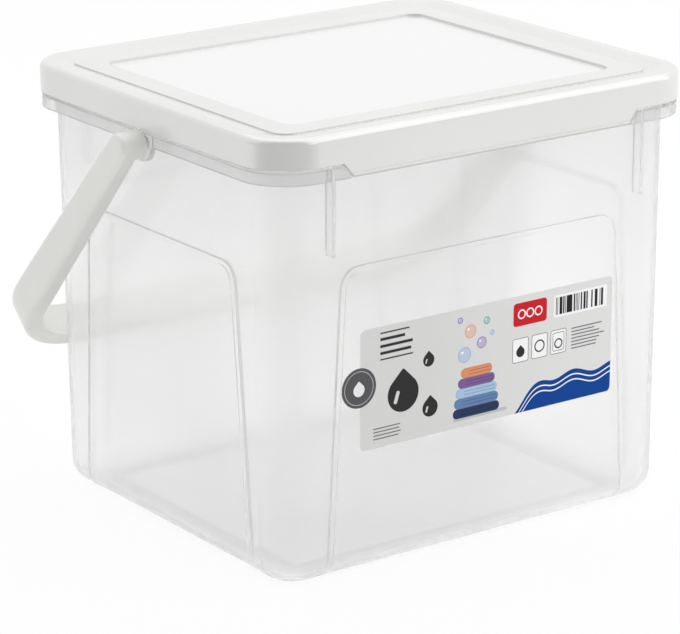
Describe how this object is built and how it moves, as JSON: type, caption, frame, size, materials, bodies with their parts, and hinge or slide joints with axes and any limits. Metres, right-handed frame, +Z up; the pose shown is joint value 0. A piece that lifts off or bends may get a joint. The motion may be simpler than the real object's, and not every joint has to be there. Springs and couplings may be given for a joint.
{
  "type": "detergent storage box",
  "caption": "Clear moulded storage box for washing detergent, with a white lift-off lid, a swinging white carry handle and a plain printed label.",
  "frame": {"origin": "middle of the container's flat underside, on the surface it stands on", "axes": "+Z up; the front with the label and the lid's pull tab faces -Y; the handle turns about X and hangs down behind, towards +Y"},
  "size_m": [0.2288, 0.1948, 0.18],
  "materials": {
    "clear_plastic": "clear, slightly milky polypropylene",
    "white_lid": "pearly white, glossy",
    "white_handle": "white, satin gloss",
    "label_film": "printed film"
  },
  "bodies": {
    "tub": {"container": "clear_plastic", "label": "label_film"},
    "lid": {"lid": "white_lid"},
    "handle": {"handle": "white_handle"}
  },
  "joints": [
    {"name": "handle_swing", "type": "hinge", "parent": "tub", "child": "handle", "pos_m": [0, 0, 0.1623], "axis": [1, 0, 0], "range_deg": [0, 272]},
    {"name": "lid_lift", "type": "slide", "parent": "tub", "child": "lid", "axis": [0, 0, 1], "range_m": [0, 0.15]}
  ]
}
